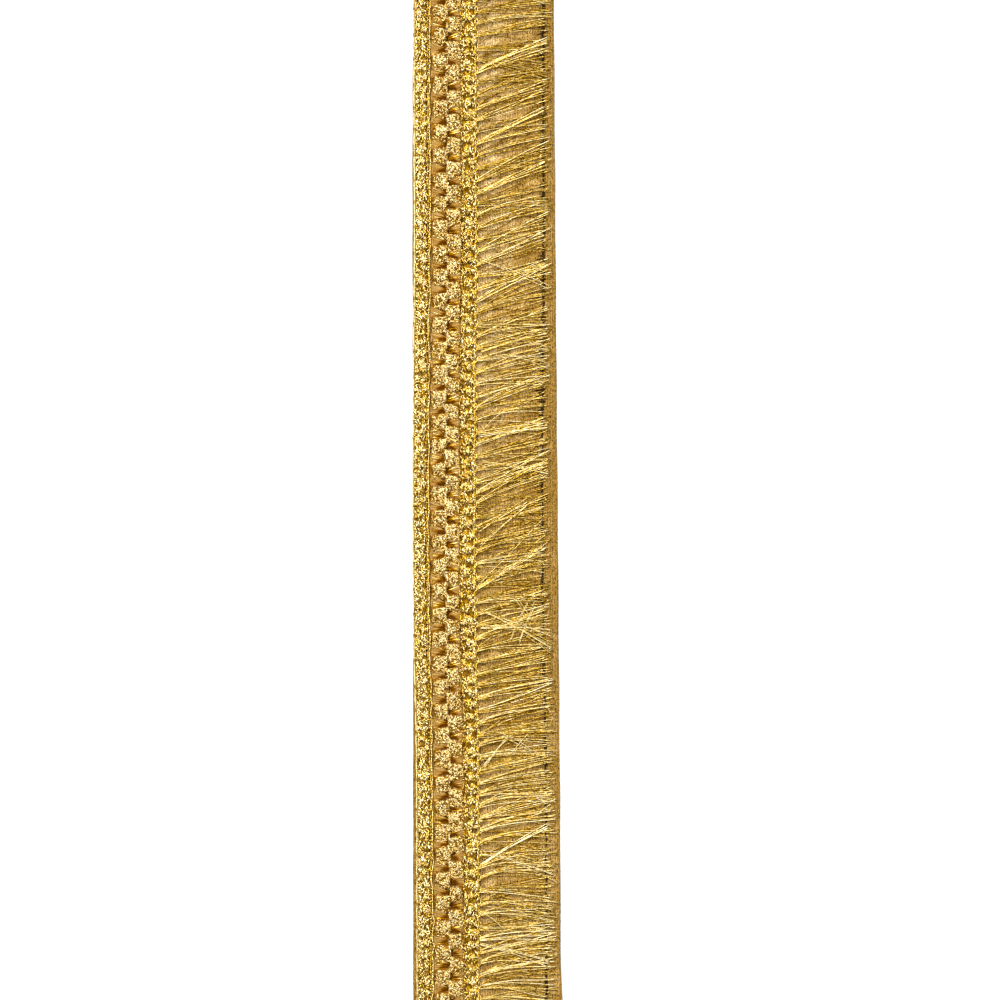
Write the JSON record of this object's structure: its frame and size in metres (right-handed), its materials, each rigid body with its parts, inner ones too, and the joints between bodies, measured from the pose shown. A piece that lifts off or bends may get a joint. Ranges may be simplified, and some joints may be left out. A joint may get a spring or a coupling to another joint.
{
  "type": "wired velvet fringe ribbon",
  "caption": "Cut length of wired velvet ribbon lying flat, with looped gold gimp bands, a zigzag of glitter chenille and a cut gold fringe along its face.",
  "frame": {"origin": "centre of the ribbon's box in plan, on its underside", "axes": "+Y along the ribbon to the end at the picture's top, +X across it from the gimp side to the fringe tips, +Z out of the trimmed face"},
  "size_m": [0.0397, 0.2794, 0.0034],
  "materials": {
    "tan_velvet": "tan velvet with a soft pile and a smooth selvedge",
    "gold_cord": "fine twisted metallic gold cord",
    "gold_loops": "crinkled metallic gold tinsel loops",
    "glitter_chenille": "fat chenille with a pale gold glitter",
    "gold_thread": "thin twisted metallic gold thread"
  },
  "bodies": {
    "root": {"velvet_ribbon": "tan_velvet", "left_outer_cord": "gold_cord", "left_gimp": "gold_loops", "left_inner_cord": "gold_cord", "zigzag_chenille": "glitter_chenille", "right_inner_cord": "gold_cord", "right_gimp": "gold_loops", "picot_cord": "gold_cord", "cut_fringe": "gold_thread"}
  },
  "joints": []
}
